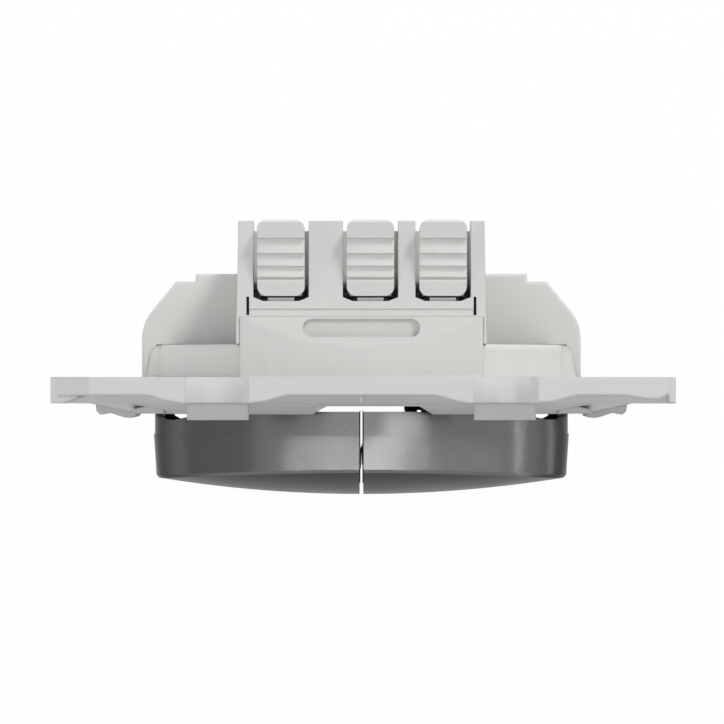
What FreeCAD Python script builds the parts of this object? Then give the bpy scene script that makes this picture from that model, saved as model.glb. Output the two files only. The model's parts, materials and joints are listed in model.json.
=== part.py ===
import FreeCAD, Part
import math
import os
import Sketcher
from FreeCAD import Placement, Rotation, Vector

# Double push button switch insert: frame, back shell, contacts, two rocking buttons, three release levers.
# X points right, Y back into the wall and Z up. The origin is the middle of the frame's back face.

os.makedirs("parts", exist_ok=True)
doc = FreeCAD.newDocument("double_push_button_switch")

# Driving dimensions, in millimetres and degrees

SIZES = {
    # support frame
    "frame_side": 71.0,
    "frame_thickness": 3.0,
    "frame_edge": 2.05,
    "edge_slope": 3.6,
    "corner_cut_start": 28.6,
    "corner_cut_x": 34.85,
    "corner_cut_z": 31.0,
    "corner_cut_end": 30.8,
    "corner_small": 34.7,
    "corner_slope_run": 4.8,
    "corner_slope_low": 26.3,
    "corner_slope_inset": 0.35,
    "mouth_radius": 25.7,
    "rim_height": 1.3,
    "rim_land": 1.6,
    "dome_radius": 33.2,
    "floor_thickness": 1.4,
    "skirt_radius": 25.4,
    "skirt_depth": 3.8,
    "skirt_wall": 1.7,
    "skirt_flat": 24.2,
    "skirt_round": 0.7,
    "guide_half": 14.0,
    "guide_radius": 29.0,
    "guide_depth": 6.93,
    "guide_lip": 0.13,
    "guide_bevel": 3.5,
    "guide_back": 20.8,
    "recess_half": 6.7,
    "recess_bottom": 4.58,
    "recess_top": 6.6,
    "notch_offset": 16.3,
    "notch_radius": 4.05,
    "notch_in": 2.2,
    "latch_width": 7.0,
    "latch_front": 4.9,
    "latch_inset": 2.4,
    "latch_slope": 1.3,
    "latch_inner": 5.3,
    "window_left": 5.6,
    "window_right": 8.2,
    "window_depth": 3.34,
    "window_slope": 1.6,
    "screw_pitch": 60.0,
    "screw_slot_width": 4.0,
    "screw_slot_length": 5.0,
    "boss_height": 1.85,
    "boss_inner": 26.5,
    "boss_outer": 31.6,
    "boss_half": 5.6,
    "ridge_middle": 24.85,
    "ridge_half": 1.95,
    "ridge_front": 4.25,
    "ridge_round": 4.6,
    "ridge_start": 11.0,
    "ridge_end": 18.4,
    "tick_half": 0.11,
    # rocking buttons
    "cap_radius": 24.85,
    "cap_wall": 1.2,
    "cap_back": 4.0,
    "cap_tab_back": 3.4,
    "cap_side_back": 5.03,
    "cap_front": 14.0,
    "cap_gap": 0.22,
    "cap_bevel": 0.3,
    "cap_draft": 0.065,
    "cap_step": 6.78,
    "cap_neck_radius": 24.72,
    "cap_far_back": 4.5,
    "cap_far_half": 10.5,
    "crown_across": 150.0,
    "crown_along": 101.0,
    "carrier_gap": 0.12,
    "carrier_clear": 0.12,
    "carrier_back": 8.3,
    "rib_wall": 1.0,
    "pivot_front": 2.9,
    "arm_radius": 1.25,
    "outer_arm_in": 22.4,
    "outer_arm_out": 23.5,
    "inner_arm_in": 7.4,
    "inner_arm_out": 9.2,
    "stud_radius": 0.9,
    "stud_clear": 0.06,
    "stud_length": 1.7,
    "lug_thickness": 1.6,
    "lug_gap": 0.35,
    "lug_half": 2.1,
    # plungers and contacts
    "plunger_left_x": 7.6,
    "plunger_right_x": 6.75,
    "plunger_drop": 14.0,
    "plunger_side": 3.0,
    "plunger_tip": 4.3,
    "plunger_clear": 0.1,
    "finger_gap": 0.06,
    "finger_half": 0.5,
    "flange_side": 4.6,
    "flange_thickness": 0.4,
    "bore_radius": 1.05,
    "bore_floor": 1.7,
    "spring_radius": 0.72,
    "spring_wire": 0.24,
    "spring_turns": 5.0,
    "bridge_half": 4.3,
    "bridge_width": 3.2,
    "bridge_thickness": 0.4,
    "contact_spread": 3.2,
    "contact_radius": 0.8,
    "contact_height": 0.35,
    "contact_gap": 1.05,
    "bar_thickness": 0.5,
    "bar_width": 3.0,
    "base_thickness": 1.3,
    "base_radius": 23.4,
    "base_leg_radius": 1.5,
    # back shell
    "wing_half": 25.95,
    "wing_front": 8.0,
    "wing_back": 20.0,
    "wing_step_half": 19.6,
    "wing_top": 12.2,
    "wing_round": 0.4,
    "wing_low_top": 11.3,
    "wing_low_half": 21.9,
    "wing_bend": 6.41,
    "wing_bend_radius": 5.4,
    "shell_wall": 1.6,
    "shell_round": 28.6,
    "block_half": 14.4,
    "block_top_half": 14.14,
    "block_face": 25.3,
    "block_top": 16.9,
    "block_back": 8.0,
    "post_top": 17.92,
    "post_depth": 5.2,
    "lever_offset_left": 9.23,
    "lever_offset_middle": 1.04,
    "lever_offset_right": 9.37,
    "lever_slot_width": 6.34,
    "lever_slot_floor": 8.72,
    "lever_slot_corner": 1.1,
    "ledge_half": 1.52,
    "ledge_rise": 0.42,
    "ledge_in": 0.5,
    "ledge_length": 1.3,
    "cell_half": 3.0,
    "cell_top": 15.2,
    "cell_front": 18.4,
    "cell_back": 3.0,
    "wire_radius": 1.5,
    "wire_first": 14.6,
    "wire_second": 10.2,
    "seam": 0.03,
    "snap_slit_offset": 13.04,
    "snap_slit_width": 0.3,
    "snap_slit_low": 7.1,
    "snap_slit_high": 9.2,
    "band_low": 7.34,
    "band_high": 7.8,
    "band_depth": 0.08,
    # release levers
    "lever_width": 5.44,
    "lever_bottom": 9.3,
    "lever_top": 18.0,
    "lever_face_low": 25.3,
    "lever_face_high": 27.3,
    "lever_plate": 1.5,
    "lever_corner": 1.05,
    "rib_depth": 0.28,
    "rib_radius": 4.2,
    "rib_first": 15.8,
    "rib_second": 14.06,
    "rib_third": 12.62,
    "rib_fourth": 11.35,
    "lever_pivot_depth": 10.3,
    "lever_pivot_height": 21.9,
    "lever_stem_half": 2.4,
    "lever_hub_radius": 1.25,
    "lever_pin_radius": 0.6,
    "lever_pin_clear": 0.06,
    "lever_pin_half": 3.75,
    # clamp springs
    "clamp_thickness": 0.4,
    "clamp_width": 4.0,
}

sheet = doc.addObject("Spreadsheet::Sheet", "Sizes")
for row, (word, amount) in enumerate(SIZES.items(), 1):
    sheet.set("A%d" % row, word)
    sheet.set("B%d" % row, str(amount))
    sheet.setAlias("B%d" % row, word)
doc.recompute()


class Size:
    """A size from the sheet, or a sum of such sizes: its formula and what it comes to."""

    def __init__(self, formula, amount):
        self.formula = formula
        self.amount = amount

    def __add__(self, other):
        other = as_size(other)
        return Size("(%s + %s)" % (self.formula, other.formula), self.amount + other.amount)

    def __sub__(self, other):
        other = as_size(other)
        return Size("(%s - %s)" % (self.formula, other.formula), self.amount - other.amount)

    def __mul__(self, other):
        other = as_size(other)
        return Size("(%s * %s)" % (self.formula, other.formula), self.amount * other.amount)

    def __truediv__(self, other):
        other = as_size(other)
        return Size("(%s / %s)" % (self.formula, other.formula), self.amount / other.amount)

    def __neg__(self):
        return Size("(0 - %s)" % self.formula, -self.amount)

    def __radd__(self, other):
        return as_size(other) + self

    def __rsub__(self, other):
        return as_size(other) - self

    def __rmul__(self, other):
        return as_size(other) * self


def as_size(number):
    """A plain number as a Size."""
    if isinstance(number, Size):
        return number
    return Size(repr(float(number)), float(number))


def size(word):
    """The size that the sheet holds under this word."""
    return Size("Sizes.%s" % word, float(sheet.get(word)))


def leg(radius, level):
    """The other short side of a right triangle, given its long side and one short side."""
    long_side, side = as_size(radius), as_size(level)
    formula = "sqrt(%s * %s - %s * %s)" % (long_side.formula, long_side.formula, side.formula, side.formula)
    return Size(formula, math.sqrt(long_side.amount ** 2 - side.amount ** 2))


def bind(thing, name, amount):
    """Tie a property to a Size, so that the sheet drives it."""
    thing.setExpression(name, as_size(amount).formula)


# Helpers for bodies, sketches and features

NORMAL_SIGN = {"XY_Plane": 1, "XZ_Plane": -1, "YZ_Plane": 1}
SUB_PARTS = []


def new_body(label):
    body = doc.addObject("PartDesign::Body", label)
    body.Label = label
    SUB_PARTS.append(body)
    return body


def plane_of(body, role):
    return [item for item in body.Origin.OriginFeatures if item.Role == role][0]


def sketch_on(body, role, at):
    """A sketch on an origin plane of the body, moved to the given place along the plane's world axis."""
    sketch = body.newObject("Sketcher::SketchObject", body.Label + "_sketch")
    sketch.AttachmentSupport = [(plane_of(body, role), "")]
    sketch.MapMode = "FlatFace"
    bind(sketch, "AttachmentOffset.Base.z", as_size(at) * NORMAL_SIGN[role])
    return sketch


def arc_between(start, end, radius):
    """Arc from start to end, bulging right of the way from start to end for a positive radius."""
    middle = (start + end) / 2
    half = (end - start).Length / 2
    reach = math.sqrt(max(radius * radius - half * half, 1e-9))
    along = (end - start) / (2 * half)
    left = Vector(-along.y, along.x, 0)
    side = 1 if radius > 0 else -1
    centre = middle + left * reach * side
    first, last = (start, end) if radius > 0 else (end, start)
    a = math.atan2(first.y - centre.y, first.x - centre.x)
    b = math.atan2(last.y - centre.y, last.x - centre.x)
    if b < a:
        b += 2 * math.pi
    return Part.ArcOfCircle(Part.Circle(centre, Vector(0, 0, 1), abs(radius)), a, b)


def outline(sketch, corners):
    """Closed outline through corners given as (x, y) or, where an arc leaves the corner, (x, y, radius)."""
    corners = [tuple(as_size(c) for c in corner) for corner in corners]
    count = len(corners)
    points = [Vector(c[0].amount, c[1].amount, 0) for c in corners]
    ends = []
    for i, corner in enumerate(corners):
        here, there = points[i], points[(i + 1) % count]
        if len(corner) == 3:
            edge = sketch.addGeometry(arc_between(here, there, corner[2].amount))
            turned = corner[2].amount < 0
            ends.append((edge, 2, 1) if turned else (edge, 1, 2))
            radius = sketch.addConstraint(Sketcher.Constraint("Radius", edge, abs(corner[2].amount)))
            bind(sketch, "Constraints[%d]" % radius, -corner[2] if turned else corner[2])
        else:
            edge = sketch.addGeometry(Part.LineSegment(here, there))
            ends.append((edge, 1, 2))
    for i, corner in enumerate(corners):
        edge, first, last = ends[i]
        following = ends[(i + 1) % count]
        sketch.addConstraint(Sketcher.Constraint("Coincident", edge, last, following[0], following[1]))
        for kind, value in (("DistanceX", corner[0]), ("DistanceY", corner[1])):
            place = sketch.addConstraint(Sketcher.Constraint(kind, -1, 1, edge, first, value.amount))
            bind(sketch, "Constraints[%d]" % place, value)
    return sketch


def circle(sketch, x, y, radius):
    """Circle fixed by its centre and radius."""
    x, y, radius = as_size(x), as_size(y), as_size(radius)
    edge = sketch.addGeometry(Part.Circle(Vector(x.amount, y.amount, 0), Vector(0, 0, 1), radius.amount))
    item = sketch.addConstraint(Sketcher.Constraint("Radius", edge, radius.amount))
    bind(sketch, "Constraints[%d]" % item, radius)
    for kind, value in (("DistanceX", x), ("DistanceY", y)):
        place = sketch.addConstraint(Sketcher.Constraint(kind, -1, 1, edge, 3, value.amount))
        bind(sketch, "Constraints[%d]" % place, value)
    return sketch


def extrude(kind, body, role, start, end, draw):
    """Pad or pocket of a drawn outline between two places along the plane's world axis."""
    start, end = as_size(start), as_size(end)
    sketch = sketch_on(body, role, start)
    draw(sketch)
    feature = body.newObject("PartDesign::" + kind, body.Label + "_" + kind.lower())
    feature.Profile = sketch
    rises = (end.amount > start.amount) == (NORMAL_SIGN[role] > 0)
    feature.Reversed = (not rises) if kind == "Pad" else rises
    bind(feature, "Length", (end - start) if end.amount > start.amount else (start - end))
    sketch.Visibility = False
    return feature


def pad(body, role, start, end, corners):
    return extrude("Pad", body, role, start, end, lambda sketch: outline(sketch, corners))


def pocket(body, role, start, end, corners):
    return extrude("Pocket", body, role, start, end, lambda sketch: outline(sketch, corners))


def round_pad(body, role, start, end, x, y, radius):
    return extrude("Pad", body, role, start, end, lambda sketch: circle(sketch, x, y, radius))


def round_pocket(body, role, start, end, x, y, radius):
    return extrude("Pocket", body, role, start, end, lambda sketch: circle(sketch, x, y, radius))


def turned(kind, body, corners):
    """Revolution or groove about the Y axis of an outline in the XY plane."""
    sketch = sketch_on(body, "XY_Plane", 0)
    outline(sketch, corners)
    feature = body.newObject("PartDesign::" + kind, body.Label + "_" + kind.lower())
    feature.Profile = sketch
    feature.ReferenceAxis = (sketch, ["V_Axis"])
    feature.Angle = 360.0
    return feature


def loft_cut(body, role, sections):
    """Cut lofted between outlines, each given with its place along the plane's world axis."""
    sketches = []
    for at, corners in sections:
        sketches.append(outline(sketch_on(body, role, at), corners))
    feature = body.newObject("PartDesign::SubtractiveLoft", body.Label + "_loft")
    feature.Profile = sketches[0]
    feature.Sections = sketches[1:]
    feature.Ruled = True
    return feature


def round_edges(body, radius, wanted):
    """Fillet the edges of the body's last shape whose middle point and length pass the test."""
    doc.recompute()
    base = body.Tip
    names = []
    for number, edge in enumerate(base.Shape.Edges, 1):
        middle = edge.valueAt(edge.getParameterByLength(edge.Length / 2))
        if wanted(middle, edge):
            names.append("Edge%d" % number)
    feature = body.newObject("PartDesign::Fillet", body.Label + "_fillet")
    feature.Base = (base, names)
    bind(feature, "Radius", radius)
    return feature


def box_outline(x_low, x_high, y_low, y_high):
    return [(x_low, y_low), (x_high, y_low), (x_high, y_high), (x_low, y_high)]


def stadium(x_low, x_high, y_low, y_high):
    """Slot outline, wider than high, with half-round ends."""
    radius = (as_size(y_high) - y_low) / 2
    return [
        (x_low + radius, y_low),
        (x_high - radius, y_low, radius * 1.0001),
        (x_high - radius, y_high),
        (x_low + radius, y_high, radius * 1.0001),
    ]


def close_to(value, target, slack=0.02):
    return abs(value - as_size(target).amount) < slack


# Values that several pieces share

HALF = size("frame_side") / 2
RIM_FRONT = -(size("frame_thickness") + size("rim_height"))
FLOOR_FRONT = -size("floor_thickness")
LEVERS = {
    "left": -size("lever_offset_left"),
    "middle": size("lever_offset_middle"),
    "right": size("lever_offset_right"),
}
PLUNGERS = {"left": -size("plunger_left_x"), "right": size("plunger_right_x")}
PLUNGER_Z = -size("plunger_drop")
SIDES = {"left": -1, "right": 1}
FLANGE_BACK = size("plunger_clear") + size("flange_thickness")
BRIDGE_BACK = FLANGE_BACK + size("bridge_thickness")
RIVET_FRONT = BRIDGE_BACK + size("contact_height") + size("contact_gap") + size("plunger_clear")
BAR_FRONT = RIVET_FRONT + size("contact_height")
BASE_FRONT = BAR_FRONT + size("bar_thickness")
BASE_BACK = BASE_FRONT + size("base_thickness")
BAR_TOP = size("cell_top") - size("seam") * 3
LUG_FRONT = -(size("pivot_front") + size("arm_radius"))


# Support frame: square plate, domed rim round the mouth, well floor, skirt and guide block

def build_support_frame():
    body = new_body("support_frame")
    cut_corner = [
        (HALF, size("corner_cut_start")),
        (size("corner_cut_x"), size("corner_cut_z")),
        (size("corner_cut_end"), HALF),
    ]
    full_corner = [(HALF, size("corner_small")), (size("corner_small"), HALF)]
    plate = []
    for x_side, z_side, run in ((1, -1, cut_corner), (1, 1, full_corner),
                                (-1, 1, cut_corner), (-1, -1, full_corner)):
        plate += [(x * x_side, z * z_side) for x, z in run]
    pad(body, "XZ_Plane", 0, -size("frame_thickness"), one_way_round(plate))
    dome = size("frame_thickness")
    turned("Revolution", body, [
        (size("mouth_radius") - 0.5, -dome + 0.5),
        (size("mouth_radius") - 0.5, RIM_FRONT),
        (size("mouth_radius") + size("rim_land"), RIM_FRONT),
        (size("dome_radius"), -dome),
        (size("dome_radius"), -dome + 0.5),
    ])
    frame_edge_slopes(body)
    frame_bosses(body)
    frame_latches(body)
    round_pocket(body, "XZ_Plane", RIM_FRONT - 3, FLOOR_FRONT, 0, 0, size("mouth_radius"))
    frame_windows(body)
    frame_skirt(body)
    frame_guide_block(body)
    frame_lugs(body)
    return body


def one_way_round(points):
    """Corner points in the order of their angle round the middle."""
    return sorted(points, key=lambda point: math.atan2(point[1].amount, point[0].amount))


EDGE_RUNS = (
    # position along the top edge, and how far the edge has come down there, from 0 to 1
    ((-19.9, 1.1), (-20.7, 0.87), (-22.0, 0.66), (-23.2, 0.24), (-24.1, 0.0), (-35.6, 0.0)),
    ((-13.2, 1.1), (-12.0, 0.88), (-10.7, 0.7), (-9.2, 0.2), (-8.35, 0.0),
     (8.35, 0.0), (9.2, 0.2), (10.55, 0.65), (11.96, 0.95), (12.9, 1.1)),
    ((19.6, 1.1), (20.2, 0.87), (21.6, 0.74), (23.2, 0.3), (24.4, 0.0),
     (29.9, 0.0), (31.0, 0.2), (32.4, 0.42), (33.5, 0.42), (34.1, 0.2), (34.6, -0.1), (34.75, 1.1)),
)


def frame_edge_slopes(body):
    """Slopes along the top and bottom edges, in the middle and towards the corners."""
    thick = size("frame_thickness")
    edge = size("frame_edge")
    under = -(thick + 0.2)
    for side in (1, -1):
        for run in EDGE_RUNS:
            outer = [(as_size(x * side), -(edge + (thick - edge) * share)) for x, share in run]
            inner = [(as_size(x * side), -(thick - 0.01)) for x, share in run]
            ends = [(as_size(run[-1][0] * side), under - 0.4), (as_size(run[0][0] * side), under - 0.4)]
            loft_cut(body, "XY_Plane", [
                (HALF * side, outer + ends),
                ((HALF - size("edge_slope")) * side, inner + ends),
            ])
        cut_corner_slope(body, -side, side)


def cut_corner_slope(body, x_side, z_side):
    """The edge's slope carried round a cut corner, to a steep end near the side."""
    thick = size("frame_thickness")
    edge = size("frame_edge")
    top = size("corner_cut_end")
    across = size("corner_cut_x") - top
    down = HALF - size("corner_cut_z")
    reach = size("corner_slope_run")
    end = size("corner_cut_x") - size("corner_slope_inset")
    turn = HALF - down * ((end - top) / across)
    low = size("corner_slope_low")
    deep = -(thick - 0.01)
    under = -(thick + 0.2)

    def section(points):
        return [(x * x_side, y) for x, y in points]

    loft_cut(body, "XY_Plane", [
        (HALF * z_side, section([(top, -edge), (top - reach, deep), (top - reach, under), (top, under)])),
        (turn * z_side, section([(end, -edge), (end - reach, deep), (end - reach, under),
                                 (end - 0.7, under)])),
    ])
    loft_cut(body, "XY_Plane", [
        (turn * z_side, section([(end, -edge), (end - reach, deep), (end - reach, under),
                                 (end - 0.7, under)])),
        (low * z_side, section([(end, deep + 0.03), (end - 0.2, deep), (end - 0.3, under),
                                (end - 0.1, under)])),
    ])


def frame_bosses(body):
    """Raised bosses beside the mouth, with the slots for the box screws cut through them."""
    thick = size("frame_thickness")
    inner, outer = size("boss_inner"), size("boss_outer")
    high = size("boss_height")
    for side in (-1, 1):
        profile = [
            (inner * side, -thick + 0.5),
            (inner * side, -(thick + high * 0.62)),
            ((inner + 0.3) * side, -(thick + high * 0.92)),
            ((inner + 0.8) * side, -(thick + high)),
            ((inner + 1.6) * side, -(thick + high * 0.98)),
            ((outer - 1.75) * side, -(thick + high * 0.67)),
            ((outer - 1.25) * side, -(thick + high * 0.72)),
            ((outer - 0.65) * side, -(thick + high * 0.8)),
            ((outer - 0.15) * side, -(thick + high * 0.58)),
            (outer * side, -thick + 0.5),
        ]
        pad(body, "XY_Plane", -size("boss_half"), size("boss_half"), profile)
        middle = size("screw_pitch") / 2 * side
        half = size("screw_slot_width") / 2
        reach = size("screw_slot_length") / 2
        pocket(body, "XZ_Plane", -(thick + high + 1), 0, stadium(
            middle - reach, middle + reach, -half, half))
        ridge = size("ridge_middle") * side
        wide = size("ridge_half")
        for z_side in (-1, 1):
            pad(body, "XY_Plane", size("ridge_start") * z_side, size("ridge_end") * z_side, [
                (ridge - wide, -size("ridge_front")),
                (ridge - wide, -(size("ridge_front") - 0.35), -size("ridge_round")),
                (ridge + wide, -(size("ridge_front") - 0.35)),
                (ridge + wide, -size("ridge_front")),
            ])


def frame_latches(body):
    """Hollow notches in the top and bottom edges, each with a sloped latch bar behind it."""
    thick = size("frame_thickness")
    front = size("latch_front")
    outer = HALF - size("latch_inset")
    for x_side in (-1, 1):
        middle = size("notch_offset") * x_side
        half = size("latch_width") / 2
        for z_side in (1, -1):
            profile = [
                (-(thick - 0.5), outer),
                (-(thick + 0.05), outer),
                (-(front - 0.3), outer - size("latch_slope")),
                (-front, outer - size("latch_slope") - 0.3),
                (-front, HALF - size("latch_inner")),
                (-(thick - 0.5), HALF - size("latch_inner")),
            ]
            pad(body, "YZ_Plane", middle - half, middle + half, [(y, z * z_side) for y, z in profile])
            centre = (HALF - size("notch_in") + size("notch_radius")) * z_side
            round_pocket(body, "XZ_Plane", -(front + 1), 0, middle, centre, size("notch_radius"))


def frame_windows(body):
    """Cut-outs in the rim above and below the middle of the mouth."""
    deep = size("window_depth")
    front = RIM_FRONT - 1
    profile = [
        (-size("window_left") + size("window_slope"), -deep),
        (-size("window_left"), RIM_FRONT),
        (-size("window_left"), front),
        (size("window_right"), front),
        (size("window_right"), RIM_FRONT),
        (size("window_right") - size("window_slope"), -deep),
    ]
    pocket(body, "XY_Plane", -HALF, HALF, profile)
    left, right = -size("window_left"), size("window_right")
    shallow = size("frame_thickness") - 0.1
    for side in (1, -1):
        scoop = [
            (left - 1.0, RIM_FRONT - 0.3),
            (left - 0.75, -(deep + 0.55)),
            (left - 0.1, -(deep + 0.1)),
            (left + 0.9, -(deep - 0.25)),
            (left + 1.9, -shallow),
            (right - 3.85, -shallow),
            (right - 3.6, -(deep - 0.05)),
            (right - 3.5, RIM_FRONT - 0.3),
        ]
        roof = [(x, min((y, -deep), key=lambda depth: depth.amount)) for x, y in scoop]
        loft_cut(body, "XY_Plane", [
            ((HALF - size("edge_slope") + 0.6) * side, scoop),
            ((HALF - size("edge_slope") - 2.2) * side, roof),
        ])
        if side > 0:
            pad(body, "XY_Plane", HALF - size("edge_slope") - 3.5, HALF - size("edge_slope") + 0.5, [
                (right - 3.6, -deep),
                (right - 3.25, -shallow + 0.15),
                (right + 1.0, -shallow + 0.15),
                (right + 1.0, RIM_FRONT + 0.2),
                (right - 0.15, RIM_FRONT + 0.2),
                (right - size("window_slope"), -deep),
            ])
        half = size("tick_half")
        pad(body, "XY_Plane", (HALF - 1.2) * side, (HALF - 0.12) * side, box_outline(
            -half, half, -(size("frame_thickness") - 0.08), -(size("frame_edge") - 0.1)))


def frame_skirt(body):
    """Round skirt behind the plate, flat at the sides, hollow inside."""
    radius = size("skirt_radius")
    flat = size("skirt_flat")
    lift = leg(radius, flat)
    pad(body, "XZ_Plane", -0.5, size("skirt_depth"), [
        (flat, -lift),
        (flat, lift, radius),
        (-flat, lift),
        (-flat, -lift, radius),
    ])
    round_edges(body, size("skirt_round"), lambda middle, edge:
                close_to(middle.y, size("skirt_depth")) and "Circle" in str(edge.Curve))
    round_pocket(body, "XZ_Plane", size("skirt_depth") + 1, 0, 0, 0, radius - size("skirt_wall"))


def frame_guide_block(body):
    """Block behind the top of the plate: round face, 45 degree bevel and a long recess."""
    half = size("guide_half")
    radius = size("guide_radius")
    corner = leg(radius, half)
    pad(body, "XZ_Plane", -0.5, size("guide_depth"), [
        (-half, size("guide_back")),
        (half, size("guide_back")),
        (half, corner, radius),
        (-half, corner),
    ])
    pocket(body, "XZ_Plane", size("guide_depth") + 1, size("guide_depth") - size("guide_lip"), box_outline(
        -half - 1, half + 1, size("guide_back") - 1, size("block_face") + size("seam")))
    bevel = size("guide_bevel")
    pocket(body, "YZ_Plane", -half - 1, half + 1, [
        (size("guide_depth") - bevel - 2, radius + 2),
        (size("guide_depth") + 1, radius - bevel - 1),
        (size("guide_depth") + 1, radius + 2),
    ])
    pocket(body, "XY_Plane", radius + 1, radius - bevel + 0.1, stadium(
        -size("recess_half"), size("recess_half"), size("recess_bottom"), size("recess_top")))


def frame_lugs(body):
    """Bearing lugs on the well floor for the studs of the two rockers."""
    pivot = -size("pivot_front")
    gap = size("lug_gap")
    thick = size("lug_thickness")
    places = (
        (size("outer_arm_in") - gap - thick, size("outer_arm_in") - gap),
        (size("inner_arm_out") + gap, size("inner_arm_out") + gap + thick),
    )
    for side in (-1, 1):
        for low, high in places:
            start, end = (low, high) if side > 0 else (-high, -low)
            pad(body, "YZ_Plane", start, end, [
                (FLOOR_FRONT + 0.3, -size("lug_half")),
                (FLOOR_FRONT + 0.3, size("lug_half")),
                (pivot, size("lug_half")),
                (LUG_FRONT, size("lug_half") - 0.9),
                (LUG_FRONT, -(size("lug_half") - 0.9)),
                (pivot, -size("lug_half")),
            ])
            round_pocket(body, "YZ_Plane", start, end, pivot, 0, size("stud_radius") + size("stud_clear"))
    for name in PLUNGERS:
        half = size("plunger_side") / 2 + size("plunger_clear")
        middle = PLUNGERS[name]
        pocket(body, "XZ_Plane", FLOOR_FRONT - 1, 0.5, box_outline(
            middle - half, middle + half, PLUNGER_Z - half, PLUNGER_Z + half))


build_support_frame()


# Rocking buttons: metal-look caps with a crowned front

def crowned_disc(name, radius, front, back, across, along, chord, far, draft=None):
    """Half-disc with a front crowned both ways, as the common part of a cylinder, a box and a crown."""
    if draft:
        disc = doc.addObject("Part::Cone", name + "_disc")
        bind(disc, "Radius1", radius)
        bind(disc, "Radius2", radius - (front - back + 1) * draft)
    else:
        disc = doc.addObject("Part::Cylinder", name + "_disc")
        bind(disc, "Radius", radius)
    bind(disc, "Height", front - back + 1)
    disc.Placement = Placement(Vector(0, 0, 0), Rotation(Vector(1, 0, 0), 90))
    bind(disc, "Placement.Base.y", -back)
    half = doc.addObject("Part::Box", name + "_half")
    bind(half, "Length", radius + 2)
    bind(half, "Width", front + 4)
    bind(half, "Height", radius * 2 + 4)
    bind(half, "Placement.Base.x", chord if far > 0 else -(chord + radius + 2))
    bind(half, "Placement.Base.y", -(front + 2))
    bind(half, "Placement.Base.z", -(radius + 2))
    sketch = doc.addObject("Sketcher::SketchObject", name + "_crown_sketch")
    reach = radius + 1
    drop = across - leg(across, reach)
    outline(sketch, [
        (-reach, -front + drop, across),
        (reach, -front + drop),
        (reach, -front + along),
        (-reach, -front + along),
    ])
    crown = doc.addObject("Part::Revolution", name + "_crown")
    crown.Source = sketch
    crown.Axis = Vector(1, 0, 0)
    crown.Base = Vector(0, 0, 0)
    bind(crown, "Base.y", along - front)
    crown.Angle = 80
    crown.Symmetric = True
    crown.Solid = True
    common = doc.addObject("Part::MultiCommon", name + "_form")
    common.Shapes = [disc, half, crown]
    return common


def build_cap(name):
    side = SIDES[name]
    wall = size("cap_wall")
    slope = size("cap_draft")
    base = size("cap_radius") + (size("cap_step") - size("cap_tab_back")) * slope
    outer = crowned_disc("cap_outer_" + name, base, size("cap_front"), size("cap_tab_back"),
                         size("crown_across"), size("crown_along"), size("cap_gap"), side, slope)
    doc.recompute()
    edges = []
    for number, edge in enumerate(outer.Shape.Edges, 1):
        middle = edge.valueAt(edge.getParameterByLength(edge.Length / 2))
        if close_to(math.hypot(middle.x, middle.z), size("cap_radius").amount - 0.3, 0.3) and middle.y < -9:
            edges.append((number, size("cap_bevel").amount, size("cap_bevel").amount))
    bevelled = doc.addObject("Part::Chamfer", "cap_bevelled_" + name)
    bevelled.Base = outer
    bevelled.Edges = edges
    inner = crowned_disc("cap_inner_" + name, size("cap_radius") - wall, size("cap_front") - wall,
                         size("cap_tab_back") - 1, size("crown_across"), size("crown_along"),
                         size("cap_gap") - 1, side)
    ring_sketch = doc.addObject("Sketcher::SketchObject", "cap_step_sketch_" + name)
    neck = size("cap_neck_radius")
    outline(ring_sketch, [
        (neck, -size("cap_step")),
        (neck + 2, -size("cap_step")),
        (neck + 2, -size("cap_tab_back") + 1),
        (neck, -size("cap_tab_back") + 1),
    ])
    ring = doc.addObject("Part::Revolution", "cap_step_ring_" + name)
    ring.Source = ring_sketch
    ring.Axis = Vector(0, 1, 0)
    ring.Base = Vector(0, 0, 0)
    ring.Angle = 360
    ring.Solid = True
    stepped = doc.addObject("Part::Cut", "cap_stepped_" + name)
    stepped.Base = bevelled
    stepped.Tool = ring
    shell = doc.addObject("Part::Cut", "cap_shell_" + name)
    shell.Base = stepped
    shell.Tool = inner
    skirt_edge = doc.addObject("Sketcher::SketchObject", "cap_edge_sketch_" + name)
    low, high = size("cap_back"), size("cap_side_back")
    run = [
        (as_size(0), -size("cap_tab_back") + 1),
        (as_size(0), -low),
        (as_size(5.7), -low),
        (as_size(13.5), -(low + 0.25)),
        (as_size(20.0), -(high - 0.23)),
        (as_size(21.2), -(high - 0.13)),
        (as_size(21.9), -high),
        (as_size(22.9), -high),
        (as_size(23.75), -(high - 0.53)),
        (as_size(24.0), -size("cap_tab_back") + 1),
    ]
    outline(skirt_edge, [(x * side, y) for x, y in run])
    trim = doc.addObject("Part::Extrusion", "cap_trim_" + name)
    trim.Base = skirt_edge
    trim.Dir = Vector(0, 0, 1)
    trim.DirMode = "Custom"
    trim.Symmetric = True
    trim.Solid = True
    bind(trim, "LengthFwd", size("cap_radius") * 2 + 4)
    trimmed = doc.addObject("Part::Cut", "cap_trimmed_" + name)
    trimmed.Base = shell
    trimmed.Tool = trim
    far_edge = doc.addObject("Part::Box", "cap_far_edge_" + name)
    bind(far_edge, "Length", size("cap_far_half") + 1)
    bind(far_edge, "Width", as_size(2))
    bind(far_edge, "Height", size("cap_radius") - 8)
    bind(far_edge, "Placement.Base.x", as_size(-1) if side > 0 else -size("cap_far_half"))
    bind(far_edge, "Placement.Base.y", -size("cap_far_back"))
    bind(far_edge, "Placement.Base.z", -(size("cap_radius") + 2))
    cap = doc.addObject("Part::Cut", "rocker_cap_" + name)
    cap.Base = trimmed
    cap.Tool = far_edge
    cap.Label = "rocker_cap_" + name
    SUB_PARTS.append(cap)
    return cap


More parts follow.
